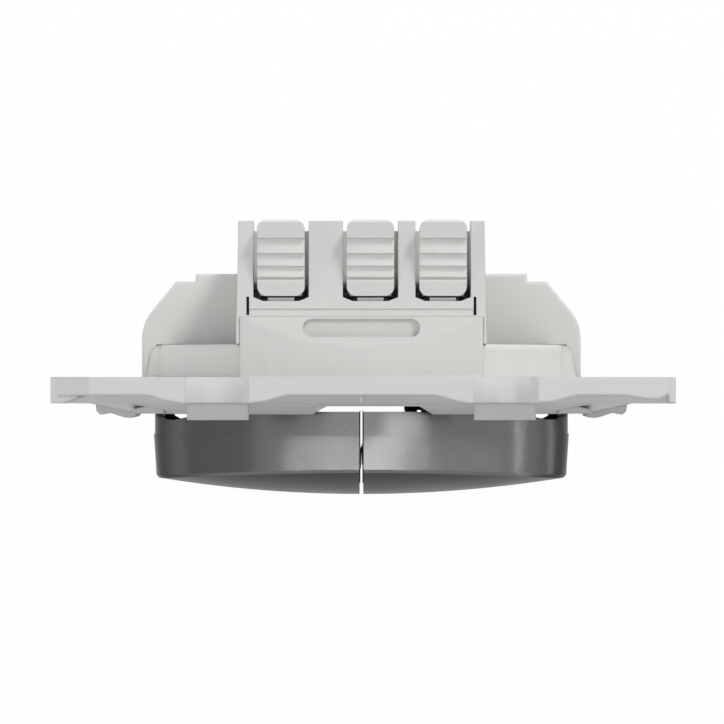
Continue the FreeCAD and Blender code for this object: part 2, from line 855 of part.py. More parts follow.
def build_carrier(name):
    """Black carrier under a cap: ribbed crowned plate, two pivot arms with studs, and the push finger."""
    side = SIDES[name]
    wall = size("cap_wall") + size("carrier_clear")
    plate = crowned_disc("carrier_plate_" + name, size("cap_radius") - wall, size("cap_front") - wall,
                         size("carrier_back"), size("crown_across"), size("crown_along"),
                         size("carrier_gap"), side)
    hollow = crowned_disc("carrier_hollow_" + name, size("cap_radius") - wall - size("rib_wall"),
                          size("cap_front") - wall - size("rib_wall"), size("carrier_back") - 1,
                          size("crown_across"), size("crown_along"),
                          size("carrier_gap") + size("rib_wall"), side)
    shell = doc.addObject("Part::Cut", "carrier_shell_" + name)
    shell.Base = plate
    shell.Tool = hollow
    pieces = [shell]
    pivot = -size("pivot_front")

    def bar(label, x_low, x_high, y_low, y_high, z_low, z_high):
        block = doc.addObject("Part::Box", label + "_" + name)
        bind(block, "Length", x_high - x_low)
        bind(block, "Width", y_high - y_low)
        bind(block, "Height", z_high - z_low)
        bind(block, "Placement.Base.x", x_low if side > 0 else -x_high)
        bind(block, "Placement.Base.y", y_low)
        bind(block, "Placement.Base.z", z_low)
        pieces.append(block)
        return block

    def barrel(label, x_low, x_high, radius):
        round_bar = doc.addObject("Part::Cylinder", label + "_" + name)
        bind(round_bar, "Radius", radius)
        bind(round_bar, "Height", x_high - x_low)
        round_bar.Placement = Placement(Vector(0, 0, 0), Rotation(Vector(0, 1, 0), 90))
        bind(round_bar, "Placement.Base.x", x_low if side > 0 else -x_high)
        bind(round_bar, "Placement.Base.y", pivot)
        pieces.append(round_bar)
        return round_bar

    plate_back = -size("carrier_back")
    arms = (
        ("outer_arm", size("outer_arm_in"), size("outer_arm_out"), -1),
        ("inner_arm", size("inner_arm_in"), size("inner_arm_out"), 1),
    )
    for label, low, high, stud_side in arms:
        bar(label, low, high, plate_back - 0.8, pivot, -size("arm_radius"), size("arm_radius"))
        barrel(label + "_end", low, high, size("arm_radius"))
        if stud_side < 0:
            barrel(label + "_stud", low - size("stud_length"), low, size("stud_radius"))
        else:
            barrel(label + "_stud", high, high + size("stud_length"), size("stud_radius"))
    gusset_sketch = doc.addObject("Sketcher::SketchObject", "arm_gusset_sketch_" + name)
    arm = size("outer_arm_in")
    outline(gusset_sketch, [(x * side, y) for x, y in (
        (arm + 0.3, as_size(-4.5)),
        (arm, as_size(-4.6)),
        (arm - 0.77, as_size(-5.02)),
        (arm - 1.8, as_size(-5.6)),
        (arm - 1.8, plate_back - 0.8),
        (arm + 0.3, plate_back - 0.8),
    )])
    gusset = doc.addObject("Part::Extrusion", "arm_gusset_" + name)
    gusset.Base = gusset_sketch
    gusset.Dir = Vector(0, 0, 1)
    gusset.DirMode = "Custom"
    gusset.Symmetric = True
    gusset.Solid = True
    bind(gusset, "LengthFwd", size("arm_radius") * 2)
    pieces.append(gusset)
    finger_x = PLUNGERS[name] * side
    half = size("plunger_side") / 2 - 0.2
    thin = size("finger_half")
    bar("finger", finger_x - half, finger_x + half, plate_back - 3.2,
        -(size("plunger_tip") + size("finger_gap")), PLUNGER_Z - thin, PLUNGER_Z + thin)
    ribs = size("rib_wall")
    bar("long_rib", size("carrier_gap") + ribs * 0.5, size("outer_arm_out") - 0.2, plate_back - 2.6,
        plate_back, -ribs / 2, ribs / 2)
    bar("finger_rib", finger_x - ribs / 2, finger_x + ribs / 2, plate_back - 2.6, plate_back,
        PLUNGER_Z, as_size(14.0))
    carrier = doc.addObject("Part::MultiFuse", "carrier_fused_" + name)
    carrier.Shapes = pieces
    trim = crowned_disc("carrier_trim_" + name, size("cap_radius") - wall, size("cap_front") - wall,
                        as_size(0), size("crown_across"), size("crown_along"), size("carrier_gap"), side)
    whole = doc.addObject("Part::MultiCommon", "rocker_carrier_" + name)
    whole.Shapes = [carrier, trim]
    whole.Label = "rocker_carrier_" + name
    SUB_PARTS.append(whole)
    return whole


for name in SIDES:
    build_cap(name)
    build_carrier(name)


# Plungers, springs and moving contacts

def build_plunger(name):
    body = new_body("plunger_" + name)
    middle = PLUNGERS[name]
    half = size("plunger_side") / 2
    flange = size("flange_side") / 2
    pad(body, "XZ_Plane", FLANGE_BACK, -size("plunger_tip"), box_outline(
        middle - half, middle + half, PLUNGER_Z - half, PLUNGER_Z + half))
    pad(body, "XZ_Plane", FLANGE_BACK, size("plunger_clear"), box_outline(
        middle - flange, middle + flange, PLUNGER_Z - flange, PLUNGER_Z + flange))
    round_pocket(body, "XZ_Plane", FLANGE_BACK + 1, -size("plunger_tip") + size("bore_floor"),
                 middle, PLUNGER_Z, size("bore_radius"))
    round_edges(body, as_size(0.35), lambda point, edge:
                close_to(point.y, -size("plunger_tip")))
    pocket(body, "XY_Plane", PLUNGER_Z - size("plunger_side"), PLUNGER_Z + size("plunger_side"), box_outline(
        middle + 0.05, middle + 0.55, -size("plunger_tip") - 0.5, -size("plunger_tip") + 0.25))
    return body


def build_moving_contact(name):
    body = new_body("moving_contact_" + name)
    middle = PLUNGERS[name]
    half = size("bridge_half")
    depth = size("bridge_width") / 2
    pad(body, "XZ_Plane", FLANGE_BACK, BRIDGE_BACK, stadium_level(middle - half, middle + half,
                                                                PLUNGER_Z - depth, PLUNGER_Z + depth))
    round_pocket(body, "XZ_Plane", BRIDGE_BACK + 1, FLANGE_BACK - 1, middle, PLUNGER_Z,
                 size("bore_radius") + 0.1)
    for side in (-1, 1):
        round_pad(body, "XZ_Plane", BRIDGE_BACK - 0.1, BRIDGE_BACK + size("contact_height"),
                  middle + size("contact_spread") * side, PLUNGER_Z, size("contact_radius"))
    return body


def stadium_level(x_low, x_high, y_low, y_high):
    """Bar outline with cut corners."""
    cut = 0.8
    return [
        (x_low + cut, y_low), (x_high - cut, y_low), (x_high, y_low + cut), (x_high, y_high - cut),
        (x_high - cut, y_high), (x_low + cut, y_high), (x_low, y_high - cut), (x_low, y_low + cut),
    ]


COIL_STEPS = 14
WIRE_SIDES = 8


def coil_ring(radius, wire, pitch, step):
    """Cross-section of the spring wire after so many steps along the coil, which rises along +Z."""
    turn = 2 * math.pi * step / COIL_STEPS
    lead = math.atan2(pitch, 2 * math.pi * radius)
    outward = Vector(math.cos(turn), math.sin(turn), 0)
    onward = Vector(-math.sin(turn) * math.cos(lead), math.cos(turn) * math.cos(lead), math.sin(lead))
    upward = outward.cross(onward)
    middle = outward * radius + Vector(0, 0, pitch * step / COIL_STEPS)
    corners = []
    for number in range(WIRE_SIDES):
        angle = 2 * math.pi * (number + 0.5) / WIRE_SIDES
        corners.append(middle + outward * (wire * math.cos(angle)) + upward * (wire * math.sin(angle)))
    return Part.makePolygon(corners + corners[:1])


def build_return_spring(name):
    """Coil between the plunger's bore floor and the base, lofted through rings along its helix."""
    start = -size("plunger_tip").amount + size("bore_floor").amount
    end = BASE_FRONT.amount
    wire = size("spring_wire").amount / 2
    turns = size("spring_turns").amount
    pitch = (end - start - 2 * wire) / turns
    rings = []
    for step in range(int(turns * COIL_STEPS) + 1):
        rings.append(coil_ring(size("spring_radius").amount, wire, pitch, step))
    spring = doc.addObject("Part::Feature", "return_spring_" + name)
    spring.Shape = Part.makeLoft(rings, True, True)
    spring.Placement = Placement(Vector(PLUNGERS[name].amount, start + wire, PLUNGER_Z.amount),
                                 Rotation(Vector(1, 0, 0), -90))
    spring.Label = "return_spring_" + name
    SUB_PARTS.append(spring)


def build_fixed_contacts(name):
    """Two rivet heads on the terminal bars, behind the ends of the moving contact."""
    heads = []
    for side in (-1, 1):
        head = doc.addObject("Part::Cylinder", "fixed_contact_%s_%d" % (name, side + 1))
        bind(head, "Radius", size("contact_radius"))
        bind(head, "Height", size("contact_height"))
        head.Placement = Placement(Vector(0, 0, 0), Rotation(Vector(1, 0, 0), -90))
        bind(head, "Placement.Base.x", PLUNGERS[name] + size("contact_spread") * side)
        bind(head, "Placement.Base.y", RIVET_FRONT)
        bind(head, "Placement.Base.z", PLUNGER_Z)
        heads.append(head)
    pair = doc.addObject("Part::Compound", "fixed_contacts_" + name)
    pair.Links = heads
    pair.Label = "fixed_contacts_" + name
    SUB_PARTS.append(pair)


for name in PLUNGERS:
    build_plunger(name)
    build_moving_contact(name)
    build_return_spring(name)
    build_fixed_contacts(name)


# Contact base and terminal bars

BAR_RISE = size("cell_back") + 0.6
BAR_FEET = {
    "left": [PLUNGERS["left"] - size("contact_spread")],
    "middle": [PLUNGERS["left"] + size("contact_spread"), PLUNGERS["right"] - size("contact_spread")],
    "right": [PLUNGERS["right"] + size("contact_spread")],
}


def build_contact_base():
    """Round insulating plate that carries the terminal bars, on four legs."""
    body = new_body("contact_base")
    radius = size("base_radius")
    chord = size("wing_front") - size("shell_wall") - 0.3
    back = size("wing_back") - size("shell_wall") - 0.6

    side = size("wing_low_half") - size("shell_wall") - 0.15
    pad(body, "XZ_Plane", BASE_BACK, BASE_FRONT, [
        (-leg(radius, back), -back),
        (leg(radius, back), -back, radius),
        (side, -leg(radius, side)),
        (side, chord),
        (-side, chord),
        (-side, -leg(radius, side), radius),
    ])
    for x in (-17.5, 17.5):
        for z in (-10.0, 2.5):
            round_pad(body, "XZ_Plane", BASE_FRONT + 0.2, 0.02, x, z, size("base_leg_radius"))
    half = size("bar_width") / 2 + 0.15
    for name, middle in LEVERS.items():
        pocket(body, "XZ_Plane", BASE_BACK + 1, BASE_FRONT - 1, box_outline(
            middle - half, middle + half, BAR_RISE - 0.2, BAR_RISE + size("bar_thickness") + 0.2))
    return body


def build_terminal_bar(name):
    """Strip on the base that runs from a fixed contact to its terminal cell and turns up into it."""
    body = new_body("terminal_bar_" + name)
    middle = LEVERS[name]
    half = size("bar_width") / 2
    feet = BAR_FEET[name]
    foot = size("contact_radius") + 0.3
    low = PLUNGER_Z - foot
    shelf = PLUNGER_Z + foot + 1.2
    if len(feet) == 2:
        corners = [
            (feet[0] - foot, low), (feet[0] + foot, low), (feet[0] + foot, shelf - 1.2),
            (feet[1] - foot, shelf - 1.2), (feet[1] - foot, low), (feet[1] + foot, low),
            (feet[1] + foot, shelf + 1.2), (middle + half, shelf + 1.2), (middle + half, BAR_RISE + 0.5),
            (middle - half, BAR_RISE + 0.5), (middle - half, shelf + 1.2), (feet[0] - foot, shelf + 1.2),
        ]
    else:
        inner, outer = feet[0] - foot, feet[0] + foot
        corners = [
            (inner, low), (outer, low), (outer, shelf), (middle + half, shelf + 2),
            (middle + half, BAR_RISE + 0.5), (middle - half, BAR_RISE + 0.5),
            (middle - half, shelf + 2), (inner, shelf),
        ]
    pad(body, "XZ_Plane", BASE_FRONT, BAR_FRONT, corners)
    pad(body, "XZ_Plane", BAR_FRONT, BAR_TOP, box_outline(
        middle - half, middle + half, BAR_RISE, BAR_RISE + size("bar_thickness")))
    return body


def build_clamp_spring(name):
    """Bent leaf spring in a terminal cell: it lies along the bar, turns over and presses back on the bar."""
    body = new_body("clamp_spring_" + name)
    middle = LEVERS[name]
    half = size("clamp_width") / 2
    thick = size("clamp_thickness")
    near = BAR_RISE + size("bar_thickness") + 0.05
    far = size("cell_front") - 1.0
    low = BASE_BACK + 0.6
    pad(body, "YZ_Plane", middle - half, middle + half, [
        (low, near), (low, far - 1.6), (low + 1.4, far), (low + 5.2, far), (low + 8.2, near + 3.4),
        (low + 8.2 - thick, near + 3.4 - thick), (low + 5.0, far - thick), (low + 1.6, far - thick),
        (low + thick, far - 1.8), (low + thick, near),
    ])
    return body


build_contact_base()
for name in LEVERS:
    build_terminal_bar(name)
    build_clamp_spring(name)


# Back shell: winged chamber and tall terminal block

def build_rear_housing():
    body = new_body("rear_housing")
    seat = size("skirt_depth") + 0.02
    wing = size("wing_half")
    right = [
        (wing, seat),
        (wing, size("wing_bend")),
        (size("wing_low_half"), size("wing_low_top")),
        (size("wing_step_half"), size("wing_low_top")),
        (size("wing_step_half"), size("wing_top")),
    ]
    left = [
        (-size("wing_step_half"), size("wing_top")),
        (-size("wing_step_half"), size("wing_low_top")),
        (-size("wing_low_half"), size("wing_low_top")),
        (-wing, size("wing_bend")),
        (-wing, seat),
    ]
    pad(body, "XY_Plane", -size("wing_back"), size("wing_front"), right + left)
    housing_arms(body)
    round_edges(body, size("wing_bend_radius"), lambda point, edge:
                close_to(abs(point.x), wing) and close_to(point.y, size("wing_bend")))
    round_edges(body, size("wing_round"), lambda point, edge:
                close_to(point.z, size("wing_front"))
                and (point.y > seat.amount + 0.3 or close_to(abs(point.x), wing)))
    pad(body, "XY_Plane", -size("block_back"), size("block_face"), [
        (-size("block_half"), seat),
        (size("block_half"), seat),
        (size("block_top_half"), size("block_top")),
        (-size("block_top_half"), size("block_top")),
    ])
    posts = size("block_face") - size("post_depth")
    pad(body, "XY_Plane", posts, size("block_face"), [
        (-size("block_top_half") - 0.02, size("block_top") - 0.5),
        (size("block_top_half") + 0.02, size("block_top") - 0.5),
        (size("block_top_half"), size("post_top")),
        (-size("block_top_half"), size("post_top")),
    ])
    trim_back(body)
    housing_hollows(body, seat)
    housing_slots(body)
    return body


def trim_back(body):
    """Round the lower outline of the chamber to pass into a round wall box."""
    radius = size("shell_round")
    far = size("wing_back") + 1
    wide = size("wing_half") + 1
    for side in (-1, 1):
        run = leg(radius, far)
        rise = leg(radius, wide)
        if side > 0:
            corners = [(run, -far, radius), (wide, -rise), (wide + 1, -rise), (wide + 1, -far - 1),
                       (run, -far - 1)]
        else:
            corners = [(-wide, -rise, radius), (-run, -far), (-run, -far - 1), (-wide - 1, -far - 1),
                       (-wide - 1, -rise)]
        pocket(body, "XZ_Plane", size("skirt_depth") - 1, size("block_top") + 1, corners)


def housing_hollows(body, seat):
    """Inside of the chamber and the three terminal cells."""
    wall = size("shell_wall")
    low = seat - 1
    pocket(body, "XY_Plane", -(size("wing_back") - wall), size("wing_front") - wall, [
        (-(size("wing_low_half") - 1.6), low),
        (size("wing_low_half") - 1.6, low),
        (size("wing_low_half") - 1.6, size("wing_bend") + 1.4),
        (size("wing_step_half") - wall, size("wing_low_top") - wall),
        (-(size("wing_step_half") - wall), size("wing_low_top") - wall),
        (-(size("wing_low_half") - 1.6), size("wing_bend") + 1.4),
    ])
    for name, middle in LEVERS.items():
        pocket(body, "XY_Plane", size("cell_back") - 1, size("cell_front"), box_outline(
            middle - size("cell_half"), middle + size("cell_half"), low, size("cell_top")))
        for level in (size("wire_first"), size("wire_second")):
            round_pocket(body, "XZ_Plane", size("block_top") + 1, size("cell_top") - 1, middle, level,
                         size("wire_radius"))
    pocket(body, "XZ_Plane", low, size("guide_depth") - size("guide_lip") + size("seam"), box_outline(
        -(size("guide_half") + size("seam")), size("guide_half") + size("seam"),
        size("guide_back") - size("seam"), size("block_face") + 1))


def housing_slots(body):
    """Slots for the release levers, their pin holes, the windows to the cells and the small grooves."""
    face = size("block_face")
    floor = face - size("post_depth")
    half = size("lever_slot_width") / 2
    cut = size("lever_slot_corner")
    low = size("lever_slot_floor")
    pivot_y, pivot_z = size("lever_pivot_depth"), size("lever_pivot_height")
    ledge = size("ledge_half")
    for name, middle in LEVERS.items():
        pocket(body, "XY_Plane", face + 1, floor, [
            (middle - half, size("post_top") + 1),
            (middle - half, low + cut * 0.4),
            (middle - half + cut, low),
            (middle + half - cut, low),
            (middle + half, low + cut * 0.4),
            (middle + half, size("post_top") + 1),
        ])
        ledge_face = face - size("ledge_in")
        pad(body, "XY_Plane", ledge_face - size("ledge_length"), ledge_face, box_outline(
            middle - ledge, middle + ledge, low - 0.3, low + size("ledge_rise")))
        pin = size("lever_pin_half") + 0.1
        round_pocket(body, "YZ_Plane", middle - pin, middle + pin, pivot_y, pivot_z,
                     size("lever_pin_radius") + size("lever_pin_clear"))
        pocket(body, "XY_Plane", floor + 1, size("cell_front") - 1, box_outline(
            middle - 2.6, middle + 2.6, low + 0.3, as_size(12.2)))
    slit = size("snap_slit_width") / 2
    for side in (-1, 1):
        middle = size("snap_slit_offset") * side
        pocket(body, "XY_Plane", face + 1, face - 2.0, box_outline(
            middle - slit, middle + slit, size("snap_slit_low"), size("snap_slit_high")))
    edge = size("snap_slit_offset") - slit
    pocket(body, "XY_Plane", face + 1, face - size("band_depth"), box_outline(
        -edge, edge, size("band_low"), size("band_high")))


def housing_arms(body):
    """Snap arms at both sides, which reach down to the frame's back face outside the skirt's flats."""
    for side in (-1, 1):
        near = (size("skirt_flat") + size("seam")) * side
        far = size("wing_half") * side
        pad(body, "XZ_Plane", size("skirt_depth") + 0.3, 0.02, box_outline(
            near, far, -(size("wing_front") - 0.6), size("wing_front")))


build_rear_housing()


# Release levers: ribbed faces on hinged plates

def build_release_lever(name):
    body = new_body("release_lever_" + name)
    middle = LEVERS[name]
    half = size("lever_width") / 2
    bottom, top = size("lever_bottom"), size("lever_top")
    face_low, face_high = size("lever_face_low"), size("lever_face_high")
    slope = (face_high - face_low) / (top - bottom)

    def face_at(level):
        return face_low + slope * (level - bottom)

    creases = [size("rib_first"), size("rib_second"), size("rib_third"), size("rib_fourth")]
    corners = [(top, face_at(top) - size("lever_plate")), (top, face_at(top) - 0.25)]
    corners.append((top - 0.25, face_at(top)))
    for crease in creases:
        corners.append((crease + 0.12, face_at(crease) + size("rib_depth") * 0.3))
        corners.append((crease, face_at(crease) - size("rib_depth"), -size("rib_radius")))
    corners[-1] = corners[-1][:2]
    corners.append((creases[-1] - 0.35, face_at(creases[-1]) - size("rib_depth") * 0.2))
    corners.append((bottom, face_low))
    corners.append((bottom, face_low - size("lever_plate")))
    pad(body, "YZ_Plane", middle - half, middle + half, corners)
    round_edges(body, size("lever_corner"), lambda point, edge:
                (close_to(point.y, top) or close_to(point.y, bottom))
                and close_to(abs(point.x - middle.amount), half) and edge.Length > 1.0
                and abs(edge.tangentAt(edge.FirstParameter).z) > 0.9)
    stem = size("lever_stem_half")
    pivot_y, pivot_z = size("lever_pivot_depth"), size("lever_pivot_height")
    hub = size("lever_hub_radius")
    pad(body, "YZ_Plane", middle - stem, middle + stem, [
        (pivot_y - hub * 0.8, face_low - size("lever_plate") + 0.5),
        (pivot_y - hub * 0.8, pivot_z),
        (pivot_y + hub * 0.8, pivot_z),
        (pivot_y + hub * 0.8 + 1.6, face_low - size("lever_plate") + 0.8),
    ])
    round_pad(body, "YZ_Plane", middle - stem, middle + stem, pivot_y, pivot_z, hub)
    round_pad(body, "YZ_Plane", middle - size("lever_pin_half"), middle + size("lever_pin_half"),
              pivot_y, pivot_z, size("lever_pin_radius"))
    return body


for name in LEVERS:
    build_release_lever(name)

doc.recompute()

# Check every object, then write each sub-part

for thing in doc.Objects:
    if "Invalid" in thing.State or "Error" in thing.State:
        raise RuntimeError("%s did not build: %s" % (thing.Name, thing.State))

for part in SUB_PARTS:
    shape = part.Shape
    if shape.isNull() or not shape.isValid():
        raise RuntimeError("%s has no valid shape" % part.Label)
    box = shape.BoundBox
    print("%-22s solids %d volume %9.2f  X %.2f..%.2f  Y %.2f..%.2f  Z %.2f..%.2f" % (
        part.Label, len(shape.Solids), shape.Volume,
        box.XMin, box.XMax, box.YMin, box.YMax, box.ZMin, box.ZMax))
    shape.exportStep("parts/%s.step" % part.Label)
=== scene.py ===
"""Looks of the double push button switch: mouldings, satin metal caps, light and camera."""

import json
import math

import bpy
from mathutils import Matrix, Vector


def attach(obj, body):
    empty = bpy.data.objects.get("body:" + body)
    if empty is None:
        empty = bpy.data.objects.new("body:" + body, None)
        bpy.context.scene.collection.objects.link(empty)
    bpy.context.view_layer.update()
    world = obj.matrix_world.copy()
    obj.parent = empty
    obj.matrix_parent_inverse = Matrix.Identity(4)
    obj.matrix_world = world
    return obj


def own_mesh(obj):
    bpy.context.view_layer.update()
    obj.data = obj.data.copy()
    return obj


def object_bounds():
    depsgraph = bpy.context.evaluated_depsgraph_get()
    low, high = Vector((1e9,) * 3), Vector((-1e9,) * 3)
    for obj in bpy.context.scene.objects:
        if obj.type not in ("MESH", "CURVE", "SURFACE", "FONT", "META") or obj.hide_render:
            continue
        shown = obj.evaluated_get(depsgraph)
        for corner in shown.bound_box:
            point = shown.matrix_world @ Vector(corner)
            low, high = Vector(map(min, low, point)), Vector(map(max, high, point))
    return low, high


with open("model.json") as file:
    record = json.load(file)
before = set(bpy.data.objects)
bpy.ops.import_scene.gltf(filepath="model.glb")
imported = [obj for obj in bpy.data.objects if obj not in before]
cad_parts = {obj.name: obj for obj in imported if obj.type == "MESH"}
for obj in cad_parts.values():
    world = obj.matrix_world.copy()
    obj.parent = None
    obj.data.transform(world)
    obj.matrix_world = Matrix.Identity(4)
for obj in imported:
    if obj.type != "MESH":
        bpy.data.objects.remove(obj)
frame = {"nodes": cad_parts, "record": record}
cad_box = [list(corner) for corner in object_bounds()]

MM = 0.001
IMAGE_SIDE = 724
SENSOR = 36.0

# camera, measured from the width and the depth of the support frame
CAMERA_DISTANCE = 600 * MM
FOCAL_PIXELS = 5007.0
MIDDLE_COLUMN = 361.4
EYE_ROW = 377.0

# mouldings that get a rounded edge: node and radius in millimetres
ROUNDED_EDGES = {
    "rear_housing": 0.08,
    "release_lever_left": 0.16,
    "release_lever_middle": 0.16,
    "release_lever_right": 0.16,
    "support_frame": 0.07,
    "contact_base": 0.1,
    "rocker_carrier_left": 0.08,
    "rocker_carrier_right": 0.08,
    "plunger_left": 0.1,
    "plunger_right": 0.1,
    "terminal_bar_left": 0.08,
    "terminal_bar_middle": 0.08,
    "terminal_bar_right": 0.08,
}

# mouldings: the shares of the base colour for dust with painted shade in inner corners, for painted
# shade in deep gaps and for rubbed edges
DUST_AND_SHADE_SHARE = 0.72
GAP_SHADE_SHARE = 0.12
RUBBED_SHARE = 1.12

# caps: tones of the metal, of the painted shade along its front edge and of the painted shade on the
# split faces
CAP_TONE = (0.15, 0.149, 0.146, 1.0)
CAP_EDGE_SHADE_TONE = (0.045, 0.045, 0.046, 1.0)
CAP_SPLIT_SHADE_TONE = (0.012, 0.012, 0.012, 1.0)

# caps: half the gap between them, radius and slope of their wall, and where the front edge ends
SPLIT_HALF = 0.22 * MM
CAP_RADIUS = 24.85 * MM
CAP_DRAFT = 0.065
CAP_FRONT = (-9.6 * MM, -9.2 * MM)

# guide block: half its width, where its painted shade begins along Y and Z, and the tone of that shade
GUIDE_HALF = 14.0 * MM
GUIDE_BACK = (0.1 * MM, 0.3 * MM)
GUIDE_FOOT = (24.0 * MM, 24.4 * MM)
GUIDE_SHADE_TONE = (0.9, 0.9, 0.9, 1.0)

# split lips, black strips that stand in for the shade deep in the split, in millimetres: ends along Y
# and Z, slope and x values of the lip and its rims
LIP_ENDS_Y = (-10.6, -8.35)
LIP_ENDS_Z = (2.2, 19.5)
LIP_SLOPE = 0.022
LIP_SINK = 0.01
LIP_BACK = 0.118
RIM_NEAR = 0.125
RIM_FAR = 0.228
RIM_OUTLINE = [(-8.5, 20.4), (-8.5, 22.9), (-7.9, 24.1), (-4.5, 24.1), (-4.15, 23.7), (-4.15, 21.2)]

# skirt fillets, in millimetres: outline in (x, y), lower and upper end, and fall of the upper end
SKIRT_OUTLINE = [(23.8, 0.1), (25.4, 0.1), (24.72, 3.2), (24.3, 3.6), (23.8, 3.66)]
SKIRT_LOW = 7.9
SKIRT_HIGH = 8.95
SKIRT_FALL = 0.56

# how far the spots of a light patch stand from the cap's wall, and the height where streaks aim
SPOT_DISTANCE = 0.3
STREAK_Y = -8 * MM


class Graph:
    """Small helper that adds and joins shader nodes in one tree."""

    def __init__(self, tree):
        self.tree = tree

    def add(self, kind, **settings):
        node = self.tree.nodes.new(kind)
        for word, value in settings.items():
            setattr(node, word, value)
        return node

    def feed(self, target, value):
        """Joins a socket to a target socket, or sets the target's value."""
        if isinstance(value, bpy.types.NodeSocket):
            self.tree.links.new(value, target)
        else:
            target.default_value = value

    def math(self, operation, first, second=0.0, clamp=False):
        node = self.add("ShaderNodeMath", operation=operation, use_clamp=clamp)
        self.feed(node.inputs[0], first)
        self.feed(node.inputs[1], second)
        return node.outputs[0]

    def span(self, value, low, high, to_low=0.0, to_high=1.0):
        """Maps a value from one range to another, clamped."""
        node = self.add("ShaderNodeMapRange")
        for socket, amount in zip(node.inputs[:5], (value, low, high, to_low, to_high)):
            self.feed(socket, amount)
        return node.outputs[0]

    def noise(self, place, scale, detail=3.0, roughness=0.55):
        node = self.add("ShaderNodeTexNoise")
        self.feed(node.inputs["Vector"], place)
        for word, amount in (("Scale", scale), ("Detail", detail), ("Roughness", roughness)):
            self.feed(node.inputs[word], amount)
        return node.outputs["Fac"]

    def mix(self, share, first, second, blend="MIX"):
        """Mixes two colours."""
        node = self.add("ShaderNodeMix", data_type="RGBA", blend_type=blend)
        self.feed(node.inputs["Factor"], share)
        colours = [s for s in node.inputs if s.type == "RGBA"]
        self.feed(colours[0], first)
        self.feed(colours[1], second)
        return [s for s in node.outputs if s.type == "RGBA"][0]


def new_group(name, inputs, outputs):
    """Starts a shader node group with named sockets. Returns its graph and its two end nodes."""
    tree = bpy.data.node_groups.new(name, "ShaderNodeTree")
    kinds = {"float": "NodeSocketFloat", "colour": "NodeSocketColor", "normal": "NodeSocketVector"}
    for word, kind, default in inputs:
        socket = tree.interface.new_socket(word, in_out="INPUT", socket_type=kinds[kind])
        if default is not None:
            socket.default_value = default
    for word, kind in outputs:
        tree.interface.new_socket(word, in_out="OUTPUT", socket_type=kinds[kind])
    graph = Graph(tree)
    return graph, graph.add("NodeGroupInput"), graph.add("NodeGroupOutput")


def moulded_surface_group():
    """Eroded mould skin: fine grain, faint flow clouds and small gloss patches."""
    graph, given, made = new_group(
        "Moulded surface",
        [("Colour", "colour", (0.66, 0.66, 0.64, 1.0)), ("Grain Size", "float", 0.00022),
         ("Grain Depth", "float", 0.000006), ("Gloss", "float", 0.5), ("Cloud", "float", 0.03),
         ("Edge Radius", "float", 0.0002)],
        [("Colour", "colour"), ("Roughness", "float"), ("Normal", "normal")])
    place = graph.add("ShaderNodeTexCoord").outputs["Object"]
    grain_scale = graph.math("DIVIDE", 1.0, given.outputs["Grain Size"])
    grain = graph.noise(place, grain_scale, 4.0, 0.6)
    clouds = graph.noise(place, 90.0, 2.0, 0.5)
    patches = graph.noise(place, 420.0, 3.0, 0.6)
    cloud_shift = graph.math("MULTIPLY", graph.math("SUBTRACT", clouds, 0.5), given.outputs["Cloud"])
    speck_shift = graph.math("MULTIPLY", graph.math("SUBTRACT", grain, 0.5), 0.05)
    light = graph.math("ADD", graph.math("ADD", cloud_shift, speck_shift), 1.0)
    tint = graph.add("ShaderNodeHueSaturation")
    graph.feed(tint.inputs["Color"], given.outputs["Colour"])
    graph.feed(tint.inputs["Value"], light)
    graph.feed(made.inputs["Colour"], tint.outputs["Color"])
    sheen = graph.math("MULTIPLY", graph.math("SUBTRACT", patches, 0.5), 0.16)
    graph.feed(made.inputs["Roughness"], graph.math("ADD", given.outputs["Gloss"], sheen, True))
    bump = graph.add("ShaderNodeBump")
    graph.feed(bump.inputs["Height"], grain)
    graph.feed(bump.inputs["Strength"], 1.0)
    graph.feed(bump.inputs["Distance"], given.outputs["Grain Depth"])
    soft_edge = graph.add("ShaderNodeBevel", samples=6)
    graph.feed(soft_edge.inputs["Radius"], given.outputs["Edge Radius"])
    graph.feed(bump.inputs["Normal"], soft_edge.outputs["Normal"])
    graph.feed(made.inputs["Normal"], bump.outputs["Normal"])
    return graph.tree


def gap_shade_group():
    """Mask inside the narrow gaps between pieces, where painted shade darkens the colour."""
    graph, given, made = new_group("Painted gap shade", [("Reach", "float", 0.0025)], [("Mask", "float")])
    shelter = graph.add("ShaderNodeAmbientOcclusion", samples=8)
    graph.feed(shelter.inputs["Distance"], given.outputs["Reach"])
    graph.feed(made.inputs["Mask"], graph.span(shelter.outputs["AO"], 0.12, 0.34, 1.0, 0.0))
    return graph.tree


def corner_dust_and_shade_group():
    """Mask that is strongest where faces meet in an inner corner, broken up by noise; it lays dust
    together with painted shade there.
    """
    graph, given, made = new_group(
        "Corner dust and painted shade", [("Reach", "float", 0.0012), ("Amount", "float", 0.3)], [("Mask", "float")])
    shelter = graph.add("ShaderNodeAmbientOcclusion", samples=6, only_local=True)
    graph.feed(shelter.inputs["Distance"], given.outputs["Reach"])
    hidden = graph.span(shelter.outputs["AO"], 0.35, 0.85, 1.0, 0.0)
    place = graph.add("ShaderNodeTexCoord").outputs["Object"]
    broken = graph.span(graph.noise(place, 700.0, 3.0, 0.6), 0.3, 0.7, 0.5, 1.0)
    spread = graph.math("MULTIPLY", hidden, broken)
    graph.feed(made.inputs["Mask"], graph.math("MULTIPLY", spread, given.outputs["Amount"], True))
    return graph.tree


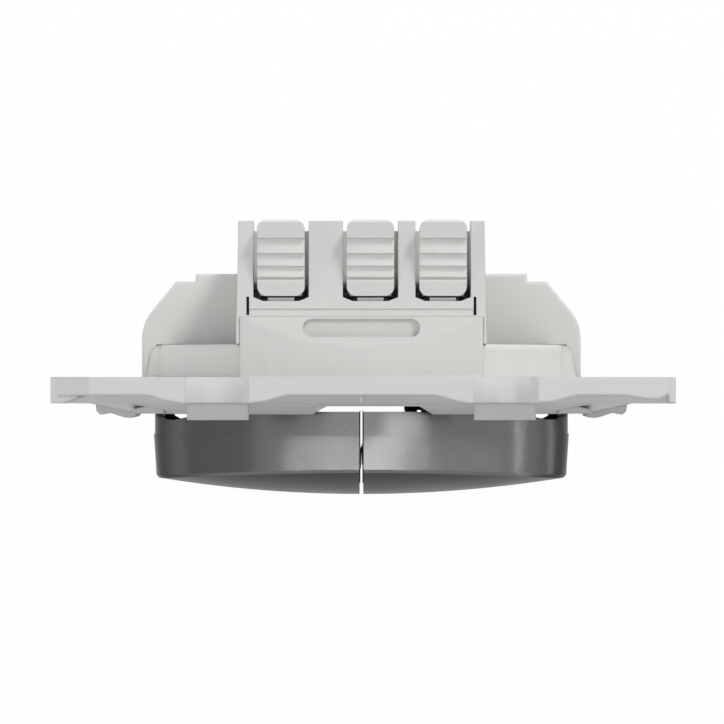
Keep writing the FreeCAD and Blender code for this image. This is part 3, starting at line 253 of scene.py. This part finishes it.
def edge_wear_group():
    """Mask along outer edges, where handling polishes or rubs a surface."""
    graph, given, made = new_group(
        "Edge wear", [("Width", "float", 0.0002), ("Amount", "float", 0.4)], [("Mask", "float")])
    rounded = graph.add("ShaderNodeBevel", samples=4)
    graph.feed(rounded.inputs["Radius"], given.outputs["Width"])
    true_normal = graph.add("ShaderNodeNewGeometry").outputs["Normal"]
    agree = graph.add("ShaderNodeVectorMath", operation="DOT_PRODUCT")
    graph.feed(agree.inputs[0], rounded.outputs["Normal"])
    graph.feed(agree.inputs[1], true_normal)
    edge = graph.span(agree.outputs["Value"], 0.8, 0.99, 1.0, 0.0)
    place = graph.add("ShaderNodeTexCoord").outputs["Object"]
    broken = graph.span(graph.noise(place, 520.0, 4.0, 0.65), 0.35, 0.65, 0.2, 1.0)
    spread = graph.math("MULTIPLY", edge, broken)
    graph.feed(made.inputs["Mask"], graph.math("MULTIPLY", spread, given.outputs["Amount"], True))
    return graph.tree


def drawn_metal_group():
    """Fine drawn lines along one axis, with a little tone and gloss variation."""
    graph, given, made = new_group(
        "Drawn metal",
        [("Colour", "colour", (0.5, 0.5, 0.5, 1.0)), ("Across", "float", 9000.0),
         ("Along", "float", 300.0), ("Gloss", "float", 0.3), ("Depth", "float", 0.000002)],
        [("Colour", "colour"), ("Roughness", "float"), ("Normal", "normal")])
    place = graph.add("ShaderNodeTexCoord").outputs["Object"]
    stretch = graph.add("ShaderNodeCombineXYZ")
    for word, source in (("X", "Along"), ("Y", "Across"), ("Z", "Along")):
        graph.feed(stretch.inputs[word], given.outputs[source])
    scaled = graph.add("ShaderNodeVectorMath", operation="MULTIPLY")
    graph.feed(scaled.inputs[0], place)
    graph.feed(scaled.inputs[1], stretch.outputs[0])
    lines = graph.noise(scaled.outputs[0], 1.0, 3.0, 0.6)
    clouds = graph.noise(place, 120.0, 2.0, 0.5)
    shade = graph.math("ADD", graph.math("MULTIPLY", graph.math("SUBTRACT", lines, 0.5), 0.10), 1.0)
    tint = graph.add("ShaderNodeHueSaturation")
    graph.feed(tint.inputs["Color"], given.outputs["Colour"])
    graph.feed(tint.inputs["Value"], shade)
    graph.feed(made.inputs["Colour"], tint.outputs["Color"])
    uneven = graph.math("MULTIPLY", graph.math("SUBTRACT", clouds, 0.5), 0.08)
    graph.feed(made.inputs["Roughness"], graph.math("ADD", given.outputs["Gloss"], uneven, True))
    bump = graph.add("ShaderNodeBump")
    graph.feed(bump.inputs["Height"], lines)
    graph.feed(bump.inputs["Strength"], 1.0)
    graph.feed(bump.inputs["Distance"], given.outputs["Depth"])
    graph.feed(made.inputs["Normal"], bump.outputs["Normal"])
    return graph.tree


MOULDED_SURFACE = moulded_surface_group()
# dust together with painted shade in the inner corners
CORNER_DUST_AND_SHADE = corner_dust_and_shade_group()
# painted shade inside the narrow gaps between pieces
GAP_SHADE = gap_shade_group()
EDGE_WEAR = edge_wear_group()
DRAWN_METAL = drawn_metal_group()


def new_material(name):
    """Starts a material and returns it with its graph and its Principled shader."""
    material = bpy.data.materials.new(name)
    material.use_nodes = True
    graph = Graph(material.node_tree)
    shader = next(n for n in material.node_tree.nodes if n.type == "BSDF_PRINCIPLED")
    return material, graph, shader


def placed_group(graph, tree, **values):
    """Places a node group and sets its inputs; underscores stand for spaces."""
    node = graph.add("ShaderNodeGroup", node_tree=tree)
    for word, value in values.items():
        graph.feed(node.inputs[word.replace("_", " ")], value)
    return node


def painted_guide_shade(graph, colour):
    """Painted shade: a slightly deeper tone on the guide block behind the support frame's plate."""
    axes = graph.add("ShaderNodeSeparateXYZ")
    graph.feed(axes.inputs[0], graph.add("ShaderNodeTexCoord").outputs["Object"])
    behind = graph.span(axes.outputs["Y"], *GUIDE_BACK)
    offset = graph.math("ABSOLUTE", axes.outputs["X"])
    across = graph.span(offset, GUIDE_HALF, GUIDE_HALF + 0.1 * MM, 1.0, 0.0)
    raised = graph.span(axes.outputs["Z"], *GUIDE_FOOT)
    guide = graph.math("MULTIPLY", graph.math("MULTIPLY", behind, across), raised)
    return graph.mix(guide, colour, GUIDE_SHADE_TONE, "MULTIPLY")


def plastic(name, colour, grain_size, grain_depth, gloss, dust, wear,
            soft=0.0002, reach=0.0025, guide=False):
    """Matt injection moulding with grain, dust and painted shade in its corners, painted shade in its
    narrow gaps and polished outer edges.
    """
    material, graph, shader = new_material(name)
    skin = placed_group(graph, MOULDED_SURFACE, Colour=(*colour, 1.0), Grain_Size=grain_size,
                        Grain_Depth=grain_depth, Gloss=gloss, Edge_Radius=soft)
    # dust together with painted shade in the inner corners
    dusty_and_shaded = placed_group(graph, CORNER_DUST_AND_SHADE, Amount=dust)
    worn = placed_group(graph, EDGE_WEAR, Amount=wear)
    dust_and_shade_colour = tuple(DUST_AND_SHADE_SHARE * c for c in colour) + (1.0,)
    light_colour = tuple(min(1.0, RUBBED_SHARE * c + 0.01) for c in colour) + (1.0,)
    # painted shade inside the narrow gaps between pieces
    gap = placed_group(graph, GAP_SHADE, Reach=reach)
    gap_shade_colour = tuple(GAP_SHADE_SHARE * c for c in colour) + (1.0,)
    base = graph.mix(dusty_and_shaded.outputs["Mask"], skin.outputs["Colour"], dust_and_shade_colour)
    base = graph.mix(gap.outputs["Mask"], base, gap_shade_colour)
    # painted shade: a deeper tone on the guide block behind the frame's plate
    if guide:
        base = painted_guide_shade(graph, base)
    graph.feed(shader.inputs["Base Color"], graph.mix(worn.outputs["Mask"], base, light_colour))
    smoother = graph.math("MULTIPLY", worn.outputs["Mask"], -0.15)
    graph.feed(shader.inputs["Roughness"], graph.math("ADD", skin.outputs["Roughness"], smoother, True))
    graph.feed(shader.inputs["Normal"], skin.outputs["Normal"])
    shader.inputs["Specular IOR Level"].default_value = 0.4
    return material


def metal(name, colour, across, along, gloss, depth, wear):
    """Bare stamped or drawn metal with a light line grain and rubbed edges."""
    material, graph, shader = new_material(name)
    drawn = placed_group(graph, DRAWN_METAL, Colour=(*colour, 1.0), Across=across, Along=along,
                         Gloss=gloss, Depth=depth)
    worn = placed_group(graph, EDGE_WEAR, Amount=wear)
    bright = tuple(min(1.0, 1.25 * c + 0.02) for c in colour) + (1.0,)
    graph.feed(shader.inputs["Base Color"],
               graph.mix(worn.outputs["Mask"], drawn.outputs["Colour"], bright))
    graph.feed(shader.inputs["Roughness"], drawn.outputs["Roughness"])
    graph.feed(shader.inputs["Normal"], drawn.outputs["Normal"])
    shader.inputs["Metallic"].default_value = 1.0
    return material


def brushed_cap(name):
    """Satin anthracite metal: faint lines brushed round the wall, small flakes, painted shade along the
    front edge and on the split faces.
    """
    material, graph, shader = new_material(name)
    brushed = placed_group(graph, DRAWN_METAL, Colour=CAP_TONE, Across=5200.0, Along=110.0,
                           Gloss=0.24, Depth=0.0000005)
    place = graph.add("ShaderNodeTexCoord").outputs["Object"]
    flakes = graph.add("ShaderNodeTexVoronoi")
    graph.feed(flakes.inputs["Vector"], place)
    graph.feed(flakes.inputs["Scale"], 9000.0)
    flake_tone = graph.add("ShaderNodeSeparateColor")
    graph.feed(flake_tone.inputs[0], flakes.outputs["Color"])
    tint = graph.add("ShaderNodeHueSaturation")
    graph.feed(tint.inputs["Color"], brushed.outputs["Colour"])
    graph.feed(tint.inputs["Value"], graph.span(flake_tone.outputs[0], 0.0, 1.0, 0.94, 1.06))
    # painted shade: a dark line along the cap's front edge
    worn = placed_group(graph, EDGE_WEAR, Width=0.0002, Amount=0.8)
    axes = graph.add("ShaderNodeSeparateXYZ")
    graph.feed(axes.inputs[0], place)
    front = graph.span(axes.outputs["Y"], *CAP_FRONT, 1.0, 0.0)
    painted_edge_shade = graph.math("MULTIPLY", worn.outputs["Mask"], front)
    rubbed = graph.mix(painted_edge_shade, tint.outputs["Color"], CAP_EDGE_SHADE_TONE)
    # painted shade: near-black split faces between the two caps
    offset = graph.math("ABSOLUTE", axes.outputs["X"])
    split = graph.span(offset, SPLIT_HALF * 1.1, SPLIT_HALF * 1.3, 1.0, 0.0)
    graph.feed(shader.inputs["Base Color"], graph.mix(split, rubbed, CAP_SPLIT_SHADE_TONE))
    graph.feed(shader.inputs["Roughness"], brushed.outputs["Roughness"])
    graph.feed(shader.inputs["Normal"], brushed.outputs["Normal"])
    shader.inputs["Metallic"].default_value = 1.0
    shader.inputs["Specular Tint"].default_value = (0.32, 0.32, 0.32, 1.0)
    return material


MATERIALS = {
    "grey_plastic": plastic("grey moulding", (0.66, 0.657, 0.643), 0.00024, 0.000012, 0.55, 0.1, 0.25,
                            0.0004, 0.001, guide=True),
    "lever_plastic": plastic("lever moulding", (0.69, 0.687, 0.672), 0.0002, 0.000009, 0.5, 0.35, 0.35,
                             0.0001),
    "white_plastic": plastic("white moulding", (0.8, 0.8, 0.78), 0.0002, 0.00001, 0.5, 0.3, 0.2),
    "black_plastic": plastic("black moulding", (0.015, 0.015, 0.016), 0.0002, 0.00001, 0.5, 0.2, 0.4),
    "dark_metal": brushed_cap("satin anthracite metal"),
    # the rear housing's moulding is a darker copy of the grey moulding: painted shade
    "housing": plastic("housing moulding", (0.64, 0.637, 0.624), 0.00024, 0.000012, 0.55, 0.2, 0.25),
    "contact_brass": metal("stamped brass", (0.75, 0.55, 0.28), 5000.0, 260.0, 0.3, 0.000002, 0.5),
    "silver_alloy": metal("silver contact", (0.85, 0.85, 0.84), 4000.0, 4000.0, 0.28, 0.000001, 0.3),
    "spring_steel": metal("spring steel", (0.55, 0.55, 0.56), 8000.0, 300.0, 0.25, 0.000001, 0.4),
}


def dress_nodes():
    """Gives each CAD node its finish and, for the mouldings, a rounded edge."""
    slots = {part["node"]: part["material_slot"] for part in frame["record"]["subparts"]}
    for name, piece in frame["nodes"].items():
        piece.data.materials.clear()
        # the rear housing gets the darker copy of the grey moulding, which is painted shade
        piece.data.materials.append(MATERIALS["housing" if name == "rear_housing" else slots[name]])
        if name in ROUNDED_EDGES:
            round_the_edges(piece, ROUNDED_EDGES[name] * MM)


def round_the_edges(piece, radius):
    """Joins the mesh's doubled corners and rounds its sharp edges."""
    weld = piece.modifiers.new("joined corners", "WELD")
    weld.merge_threshold = 0.000001
    bevel = piece.modifiers.new("rounded edges", "BEVEL")
    bevel.width = radius
    bevel.segments = 2
    bevel.limit_method = "ANGLE"
    bevel.angle_limit = math.radians(35)
    bevel.use_clamp_overlap = True
    bevel.harden_normals = True


def compress_spring(side):
    """Gives a return spring its own copy of its mesh; the spring is not shortened."""
    spring = frame["nodes"]["return_spring_" + side]
    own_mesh(spring)


def add_mesh(name, points, faces, material):
    """Adds an object with one material, made of points and faces."""
    mesh = bpy.data.meshes.new(name)
    mesh.from_pydata(points, [], faces)
    mesh.materials.append(material)
    piece = bpy.data.objects.new(name, mesh)
    bpy.context.collection.objects.link(piece)
    return piece


def prism(points, faces, outline, near, far):
    """Adds a solid: an outline in (y, z) between two x values, each given as a function of y."""
    first, count = len(points), len(outline)
    points += [(x_of(y), y, z) for x_of in (near, far) for y, z in outline]
    faces.append(tuple(first + number for number in range(count)))
    faces.append(tuple(first + number for number in range(2 * count - 1, count - 1, -1)))
    for number in range(count):
        following = (number + 1) % count
        faces.append(tuple(first + n for n in (number, number + count, following + count, following)))


def split_shade_lip(name, body, side):
    """Thin black lip on one carrier's split edge, standing in for the shade deep in the split. The two
    lips leave a narrow wedge between them.
    """
    low, high = (y * MM for y in LIP_ENDS_Y)
    near, far = (z * MM for z in LIP_ENDS_Z)
    radius = (high - low) / 2
    outline = []
    for middle, start in ((far - radius, -90), (near + radius, 90)):
        for step in range(9):
            angle = math.radians(start + 22.5 * step)
            outline.append(((low + high) / 2 + radius * math.sin(angle),
                            -side * (middle + radius * math.cos(angle))))
    points, faces = [], []
    prism(points, faces, outline, lambda y: side * (LIP_SLOPE * (high - y) - LIP_SINK * MM),
          lambda y: side * LIP_BACK * MM)
    for end in (-1, 1):
        rim = [(y * MM, end * z * MM) for y, z in RIM_OUTLINE]
        prism(points, faces, rim, lambda y: side * RIM_NEAR * MM, lambda y: side * RIM_FAR * MM)
    lip = add_mesh(name, points, faces, MATERIALS["black_plastic"])
    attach(lip, body)


def skirt_fill(name, side):
    """Sloped fillet between the housing's side wall and the end of the frame's skirt."""
    count = len(SKIRT_OUTLINE)
    inner = SKIRT_OUTLINE[0][0]
    points = [(side * x * MM, y * MM, SKIRT_LOW * MM) for x, y in SKIRT_OUTLINE]
    points += [(side * x * MM, y * MM, (SKIRT_HIGH - SKIRT_FALL * (x - inner)) * MM)
               for x, y in SKIRT_OUTLINE]
    faces = [tuple(range(count)), tuple(range(2 * count - 1, count - 1, -1))]
    for number in range(count):
        following = (number + 1) % count
        faces.append((number, following, following + count, number + count))
    fill = add_mesh(name, points, faces, MATERIALS["grey_plastic"])
    round_the_edges(fill, 0.1 * MM)
    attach(fill, "switch_body")


def seen_rays(graph):
    """1 for the rays in which a thing is seen, 0 for those that light other things."""
    rays = graph.add("ShaderNodeLightPath")
    seen = graph.math("MAXIMUM", rays.outputs["Is Camera Ray"], rays.outputs["Is Glossy Ray"])
    return graph.math("MAXIMUM", seen, rays.outputs["Is Transmission Ray"])


def studio_floor(level):
    """White ground below the switch. It shows as plain white and keeps a soft shadow."""
    reach = 3.0
    corners = [(x * reach, y * reach, level) for x, y in ((-1, -1), (1, -1), (1, 1), (-1, 1))]
    material, graph, shader = new_material("white ground")
    shader.inputs["Base Color"].default_value = (0.9, 0.9, 0.9, 1.0)
    shader.inputs["Roughness"].default_value = 0.9
    output = next(n for n in material.node_tree.nodes if n.type == "OUTPUT_MATERIAL")
    glow = graph.add("ShaderNodeEmission")
    glow.inputs["Color"].default_value = (1.0, 1.0, 1.0, 1.0)
    joined = graph.add("ShaderNodeMixShader")
    graph.feed(joined.inputs[0], graph.math("MULTIPLY", seen_rays(graph), 0.975))
    graph.feed(joined.inputs[1], shader.outputs[0])
    graph.feed(joined.inputs[2], glow.outputs[0])
    graph.feed(output.inputs["Surface"], joined.outputs[0])
    floor = add_mesh("floor", corners, [(0, 1, 2, 3)], material)


def studio_world(level):
    """Even soft light from all round, seen as white."""
    world = bpy.data.worlds.new("studio")
    bpy.context.scene.world = world
    world.use_nodes = True
    graph = Graph(world.node_tree)
    ground = next(n for n in world.node_tree.nodes if n.type == "BACKGROUND")
    graph.feed(ground.inputs["Color"], (1.0, 1.0, 1.0, 1.0))
    graph.feed(ground.inputs["Strength"], graph.span(seen_rays(graph), 0.0, 1.0, level, 1.0))


def soft_panel(name, place, size, power, target=(0.0, 0.0, 0.0)):
    """Square lamp panel that faces the target."""
    lamp = bpy.data.lights.new(name, "AREA")
    lamp.shape = "RECTANGLE"
    lamp.size, lamp.size_y = size
    lamp.energy = power
    panel = bpy.data.objects.new(name, lamp)
    bpy.context.collection.objects.link(panel)
    panel.location = place
    away = Vector(target) - Vector(place)
    panel.rotation_euler = away.to_track_quat("-Z", "Y").to_euler()
    return panel


def mirror_place(x, y, away, draft=CAP_DRAFT):
    """A spot on a cap's wall and the place, so far away, that the camera sees mirrored there."""
    spot = Vector((x, y, math.sqrt(CAP_RADIUS ** 2 - x ** 2)))
    normal = Vector((x / CAP_RADIUS, -draft, spot.z / CAP_RADIUS)).normalized()
    view = (Vector((0.0, 0.0, CAMERA_DISTANCE)) - spot).normalized()
    return spot, spot + (2 * normal.dot(view) * normal - view) * away


def patch_of_light(name, middle, half_size, count, power, lean=0.0, fade=0.0, draft=CAP_DRAFT):
    """Row of narrow spots that draws a soft oval patch on a cap's wall and lights nothing else."""
    for number in range(count):
        share = (2 * number + 1) / count - 1
        spot, place = mirror_place(middle[0] + half_size[0] * share, middle[1] + lean * share,
                                   SPOT_DISTANCE, draft)
        radius = half_size[1] * math.sqrt(1 - share ** 4)
        lamp = bpy.data.lights.new(name, "SPOT")
        lamp.energy = power * (1 - fade * share)
        lamp.shadow_soft_size = 0.001
        lamp.spot_blend = 0.7
        lamp.spot_size = 2 * math.atan(radius / (spot - place).length)
        beam = bpy.data.objects.new(name, lamp)
        bpy.context.collection.objects.link(beam)
        beam.location = place
        beam.rotation_euler = (spot - place).to_track_quat("-Z", "Y").to_euler()
        beam.visible_diffuse = False


def streak_of_light(name, x, away, width, power):
    """Thin lamp along Y that draws an upright streak on a cap's wall."""
    spot, place = mirror_place(x, STREAK_Y, away)
    lamp = soft_panel(name, place, (0.12, width), power, spot)
    lamp.visible_diffuse = False


def reflection_glow_card(name, place, size, tone, lies=False):
    """Card that glows with a set grey tone, stands beside the set or lies there, and shows only in the
    reflections as a painted reflection.
    """
    half_wide, half_high = size[0] / 2, size[1] / 2
    corners = [(0, -half_wide, -half_high), (0, half_wide, -half_high),
               (0, half_wide, half_high), (0, -half_wide, half_high)]
    material, _, shader = new_material(name)
    shader.inputs["Base Color"].default_value = (0.0, 0.0, 0.0, 1.0)
    shader.inputs["Emission Color"].default_value = (tone, tone, tone, 1.0)
    shader.inputs["Emission Strength"].default_value = 1.0
    card = add_mesh(name, corners, [(0, 1, 2, 3)], material)
    card.location = place
    card.rotation_euler = (0.0, math.radians(90 if lies else 0), 0.0)
    card.visible_camera = False
    card.visible_diffuse = False
    card.visible_shadow = False


def photo_camera():
    """Looks down on the top edge of the switch, as it was photographed."""
    camera_data = bpy.data.cameras.new("camera")
    camera_data.sensor_width = SENSOR
    camera_data.lens = FOCAL_PIXELS * SENSOR / IMAGE_SIDE
    camera_data.shift_x = (IMAGE_SIDE / 2 - MIDDLE_COLUMN) / IMAGE_SIDE
    camera_data.shift_y = (EYE_ROW - IMAGE_SIDE / 2) / IMAGE_SIDE
    camera_data.clip_start = 0.01
    camera_data.clip_end = 10.0
    camera = bpy.data.objects.new("camera", camera_data)
    bpy.context.collection.objects.link(camera)
    camera.location = (0.0, 0.0, CAMERA_DISTANCE)
    bpy.context.scene.camera = camera


photo_camera()
dress_nodes()
compress_spring("left")
compress_spring("right")
# black lips stand in for the shade deep in the split between the caps
split_shade_lip("split_lip_left", "button_left", -1)
split_shade_lip("split_lip_right", "button_right", 1)
skirt_fill("skirt_fill_left", -1)
skirt_fill("skirt_fill_right", 1)
studio_world(0.34)
studio_floor(cad_box[0][2])
soft_panel("key", (0.26, 0.46, 0.30), (0.12, 0.12), 1.85)
soft_panel("overhead", (0.0, -0.05, 0.95), (0.7, 0.7), 2.45)
fill = soft_panel("fill left", (-0.7, 0.1, 0.15), (0.6, 0.6), 2.0)
fill.visible_glossy = False
streak_of_light("right streak", 18.4 * MM, 0.12, 1.4 * MM, 0.010)
streak_of_light("far right streak", 22.4 * MM, 0.06, 0.8 * MM, 0.005)
patch_of_light("right cap patch", (4.2 * MM, -9.4 * MM), (3.6 * MM, 5.5 * MM), 8, 0.0285,
               1.2 * MM, 0.6)
patch_of_light("right cap patch top", (4.9 * MM, -6.0 * MM), (2.2 * MM, 1.9 * MM), 4, 0.036,
               draft=0.0)
patch_of_light("right cap glow", (11.5 * MM, -10.8 * MM), (5.0 * MM, 4.2 * MM), 6, 0.007)
patch_of_light("left cap patch", (-4.0 * MM, -11.4 * MM), (4.8 * MM, 6.6 * MM), 9, 0.023,
               -0.7 * MM, 0.2)
# glowing cards, seen only in the reflections, draw painted reflections on the caps
reflection_glow_card("top card", (0.0, -0.05, 0.94), (0.7, 0.7), 1.42, True)
reflection_glow_card("front low card", (0.0, -0.036, -0.0345), (0.04, 0.08), 0.78, True)
reflection_glow_card("left card", (-0.12, -0.01, 0.0225), (0.12, 0.115), 0.51)
reflection_glow_card("right low card", (0.078, -0.01, -0.0345), (0.12, 0.066), 0.6, True)
reflection_glow_card("right card", (0.17, -0.01, -0.005), (0.12, 0.06), 0.75)

bpy.context.scene.view_settings.view_transform = "Standard"
